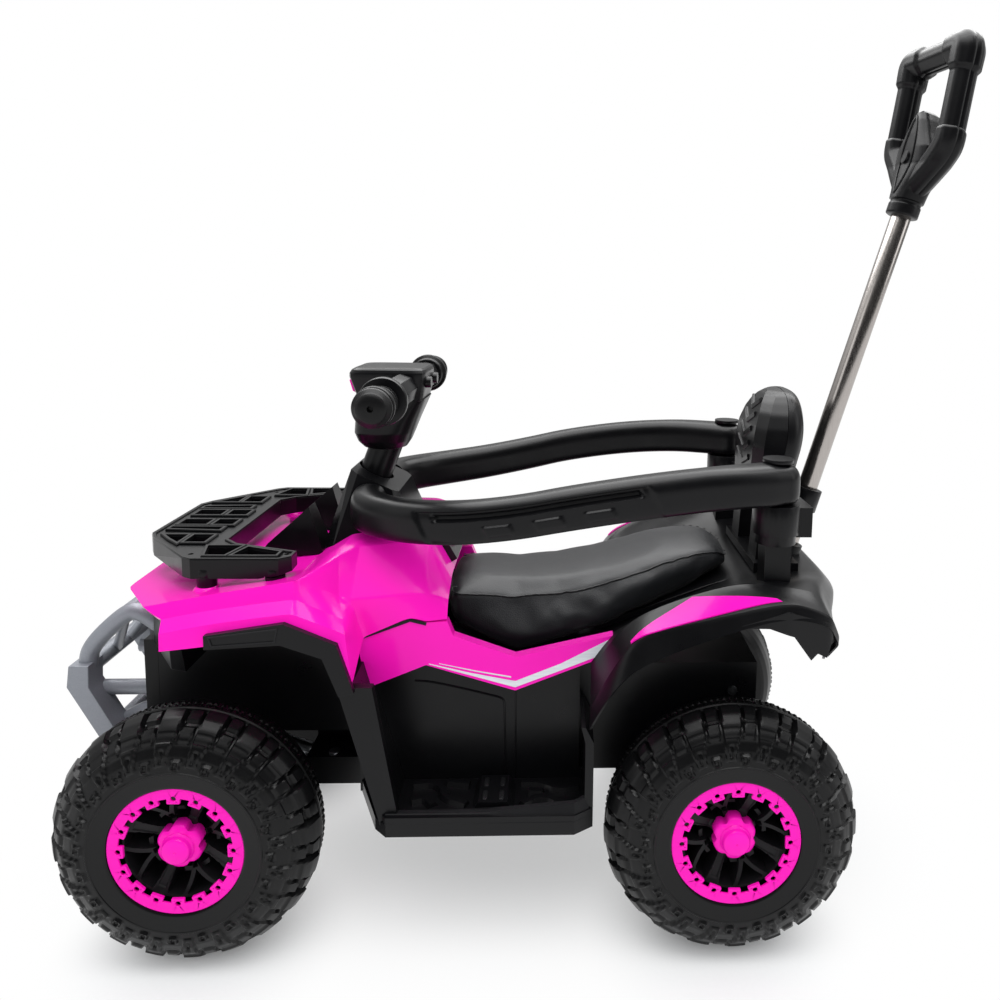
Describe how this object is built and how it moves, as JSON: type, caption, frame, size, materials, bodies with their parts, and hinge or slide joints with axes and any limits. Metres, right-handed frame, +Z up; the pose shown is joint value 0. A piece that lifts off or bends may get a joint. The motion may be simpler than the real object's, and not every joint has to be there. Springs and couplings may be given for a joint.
{
  "type": "kids quad bike",
  "caption": "Battery quad bike for small children with spoked wheels, padded seat with backrest, swing-out guard arms, linked steering and a lift-out push handle.",
  "frame": {"origin": "on the ground under the middle of the bounding box", "axes": "+X towards the rear, +Y to the rider's right, +Z up; the nose points to -X"},
  "size_m": [0.9418, 0.386, 0.9124],
  "materials": {
    "pink_plastic": "glossy injection-moulded, coloured through",
    "black_plastic": "satin with a fine moulded grain",
    "tyre_moulding": "satin, blow-moulded tyre and spoked centre in one",
    "grey_plastic": "satin metallic grey",
    "chrome_tube": "bright plated",
    "seat_leather": "leatherette with a soft grain",
    "steel": "zinc plated"
  },
  "bodies": {
    "chassis": {"backrest_frame": "black_plastic", "backrest_front": "black_plastic", "backrest_rear": "black_plastic", "battery": "black_plastic", "body_screws": "steel", "bumper": "grey_plastic", "cowl": "black_plastic", "dash_panel": "black_plastic", "front_beam": "steel", "gearbox": "black_plastic", "grille": "black_plastic", "handle_socket": "black_plastic", "hood": "pink_plastic", "lower_body": "black_plastic", "motor": "steel", "rack": "black_plastic", "rear_axle": "steel", "rear_body": "black_plastic", "rear_inlay_left": "pink_plastic", "rear_inlay_right": "pink_plastic", "seat_cushion": "seat_leather", "seat_pan": "black_plastic", "side_panel_left": "pink_plastic", "side_panel_right": "pink_plastic", "trim_left": "black_plastic", "trim_right": "black_plastic"},
    "steering": {"steering_column": "steel", "handlebar": "black_plastic", "grip_left": "black_plastic", "grip_right": "black_plastic"},
    "knuckle_left": {"knuckle_left": "steel"},
    "knuckle_right": {"knuckle_right": "steel"},
    "tie_rod": {"tie_rod": "steel"},
    "wheel_front_left": {"tyre_front_left": "tyre_moulding", "ring_front_left": "pink_plastic", "cap_front_left": "pink_plastic"},
    "wheel_front_right": {"tyre_front_right": "tyre_moulding", "ring_front_right": "pink_plastic", "cap_front_right": "pink_plastic"},
    "wheel_rear_left": {"tyre_rear_left": "tyre_moulding", "ring_rear_left": "pink_plastic", "cap_rear_left": "pink_plastic"},
    "wheel_rear_right": {"tyre_rear_right": "tyre_moulding", "ring_rear_right": "pink_plastic", "cap_rear_right": "pink_plastic"},
    "guard_left": {"guard_left": "black_plastic"},
    "guard_right": {"guard_right": "black_plastic"},
    "push_handle": {"push_tube": "chrome_tube", "handle_front": "black_plastic", "handle_rear": "black_plastic"},
    "handle_button": {"handle_button": "black_plastic"},
    "pedal": {"pedal": "black_plastic"},
    "horn_left": {"horn_left": "black_plastic"},
    "horn_right": {"horn_right": "black_plastic"},
    "power_button": {"power_button": "pink_plastic"},
    "direction_rocker": {"direction_rocker": "black_plastic"}
  },
  "joints": [
    {"name": "steer", "type": "hinge", "parent": "chassis", "child": "steering", "pos_m": [-0.164, 0, 0.453], "axis": [0.3552, 0, 0.9348], "range_deg": [-30, 30]},
    {"name": "kingpin_left", "type": "hinge", "parent": "chassis", "child": "knuckle_left", "pos_m": [-0.315, -0.088, 0.125], "axis": [0, 0, 1], "range_deg": [-16.7, 16.7]},
    {"name": "kingpin_right", "type": "hinge", "parent": "chassis", "child": "knuckle_right", "pos_m": [-0.315, 0.088, 0.125], "axis": [0, 0, 1], "range_deg": [-16.7, 16.7]},
    {"name": "tie_rod_pin", "type": "hinge", "parent": "knuckle_left", "child": "tie_rod", "pos_m": [-0.245, -0.088, 0.1], "axis": [0, 0, 1], "range_deg": [-16.7, 16.7]},
    {"name": "wheel_front_left_spin", "type": "hinge", "parent": "knuckle_left", "child": "wheel_front_left", "pos_m": [-0.315, -0.153, 0.125], "axis": [0, 1, 0], "continuous": true},
    {"name": "wheel_front_right_spin", "type": "hinge", "parent": "knuckle_right", "child": "wheel_front_right", "pos_m": [-0.315, 0.153, 0.125], "axis": [0, 1, 0], "continuous": true},
    {"name": "wheel_rear_left_spin", "type": "hinge", "parent": "chassis", "child": "wheel_rear_left", "pos_m": [0.205, -0.153, 0.125], "axis": [0, 1, 0], "continuous": true},
    {"name": "wheel_rear_right_spin", "type": "hinge", "parent": "chassis", "child": "wheel_rear_right", "pos_m": [0.205, 0.153, 0.125], "axis": [0, 1, 0], "continuous": true},
    {"name": "guard_left_hinge", "type": "hinge", "parent": "chassis", "child": "guard_left", "pos_m": [0.248, -0.121, 0.459], "axis": [0, 0, 1], "range_deg": [0, 100]},
    {"name": "guard_right_hinge", "type": "hinge", "parent": "chassis", "child": "guard_right", "pos_m": [0.248, 0.121, 0.459], "axis": [0, 0, -1], "range_deg": [0, 100]},
    {"name": "push_handle_lift", "type": "slide", "parent": "chassis", "child": "push_handle", "axis": [0.2828, 0, 0.9592], "range_m": [0, 0.15]},
    {"name": "handle_button_press", "type": "slide", "parent": "push_handle", "child": "handle_button", "axis": [0.9592, 0, -0.2828], "range_m": [0, 0.003], "stiffness_N_per_m": 300},
    {"name": "pedal_press", "type": "hinge", "parent": "chassis", "child": "pedal", "pos_m": [-0.004, 0.145, 0.158], "axis": [0, -1, 0], "range_deg": [0, 8], "stiffness_Nm_per_rad": 1, "springref_deg": -5.73},
    {"name": "horn_left_press", "type": "slide", "parent": "steering", "child": "horn_left", "axis": [-1, 0, 0], "range_m": [0, 0.002], "stiffness_N_per_m": 300},
    {"name": "horn_right_press", "type": "slide", "parent": "steering", "child": "horn_right", "axis": [-1, 0, 0], "range_m": [0, 0.002], "stiffness_N_per_m": 300},
    {"name": "power_button_press", "type": "slide", "parent": "chassis", "child": "power_button", "axis": [-0.871, 0, -0.4913], "range_m": [0, 0.002], "stiffness_N_per_m": 300},
    {"name": "direction_rocker_tilt", "type": "hinge", "parent": "chassis", "child": "direction_rocker", "pos_m": [-0.0819, 0.022, 0.36994], "axis": [0, 1, 0], "range_deg": [-8, 8]}
  ],
  "couplings": [
    {"joint": "kingpin_left", "follows": "steer", "ratio": 0.5534},
    {"joint": "kingpin_right", "follows": "steer", "ratio": 0.5534},
    {"joint": "tie_rod_pin", "follows": "steer", "ratio": -0.5534}
  ]
}
